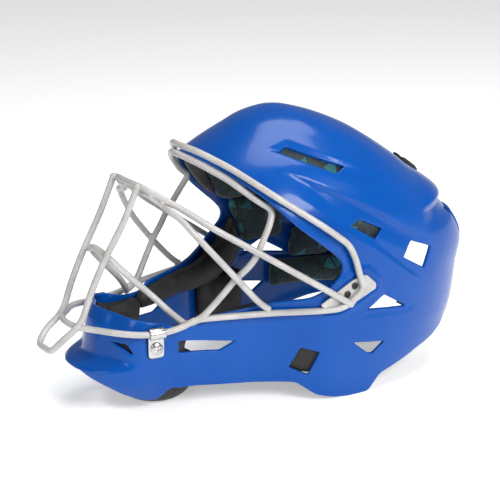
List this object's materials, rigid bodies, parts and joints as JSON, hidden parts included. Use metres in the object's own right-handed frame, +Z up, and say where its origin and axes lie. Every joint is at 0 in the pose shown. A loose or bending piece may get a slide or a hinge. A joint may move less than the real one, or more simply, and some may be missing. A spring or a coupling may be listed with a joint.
{
  "type": "catcher's mask",
  "caption": "Hockey-style catcher's mask: blue one-piece shell, welded wire cage, fabric liners, jaw pads, chin cup and a sprung rear plate.",
  "frame": {"origin": "centre of the bounding box's bottom face, level with the chin cup's underside and the shell's two lobes behind the ears", "axes": "+X towards the wearer's left, -Y the way the face looks, +Z up"},
  "size_m": [0.1936, 0.3662, 0.2105],
  "materials": {
    "shell": "gloss royal blue moulded shell",
    "cage_wire": "light grey powder coat",
    "bright_steel": "bright zinc plate",
    "dark_steel": "black oxide",
    "webbing": "black woven elastic",
    "moulded_black": "black moulded plastic",
    "liner_fabric": "black and teal printed knit over foam",
    "brow_foam": "dark brushed knit over foam",
    "eva_foam": "matte moulded foam"
  },
  "bodies": {
    "mask": {"main_shell": "shell", "top_strap": "webbing", "strap_anchor": "moulded_black", "elastic_left": "webbing", "elastic_right": "webbing", "crown_liner": "liner_fabric", "brow_pad": "brow_foam", "side_liner_left": "liner_fabric", "side_liner_right": "liner_fabric", "temple_liner_left": "liner_fabric", "temple_liner_right": "liner_fabric", "mid_liner_left": "liner_fabric", "mid_liner_right": "liner_fabric", "lower_liner_left": "liner_fabric", "lower_liner_right": "liner_fabric", "ear_pad_left": "eva_foam", "ear_pad_right": "eva_foam", "nape_pad_left": "eva_foam", "nape_pad_right": "eva_foam", "rear_liner": "liner_fabric", "cheek_pad_left": "eva_foam", "cheek_pad_right": "eva_foam", "jaw_pad_left": "eva_foam", "jaw_pad_right": "eva_foam", "chin_cup": "eva_foam", "cage_rim_upper": "cage_wire", "cage_rim_lower": "cage_wire", "cage_arch": "cage_wire", "cage_nose_bar": "cage_wire", "cage_eye_bar": "cage_wire", "cage_v_bar": "cage_wire", "cage_throat_bar": "cage_wire", "temple_plate_left": "cage_wire", "temple_plate_right": "cage_wire", "jaw_clip_left": "bright_steel", "jaw_clip_right": "bright_steel", "clip_screws": "bright_steel", "clip_nuts": "bright_steel", "temple_screws": "dark_steel", "temple_nuts": "bright_steel", "strap_screw": "dark_steel", "liner_dots": "webbing"},
    "rear_plate": {"rear_plate": "shell", "rear_plate_pad": "eva_foam", "plate_tab": "webbing", "elastic_end_left": "webbing", "elastic_end_right": "webbing"}
  },
  "joints": [
    {"name": "rear_plate_swing", "type": "hinge", "parent": "mask", "child": "rear_plate", "pos_m": [0, 0.15887, 0.1228], "axis": [1, 0, 0], "range_deg": [0, 12], "stiffness_Nm_per_rad": 0.35}
  ]
}
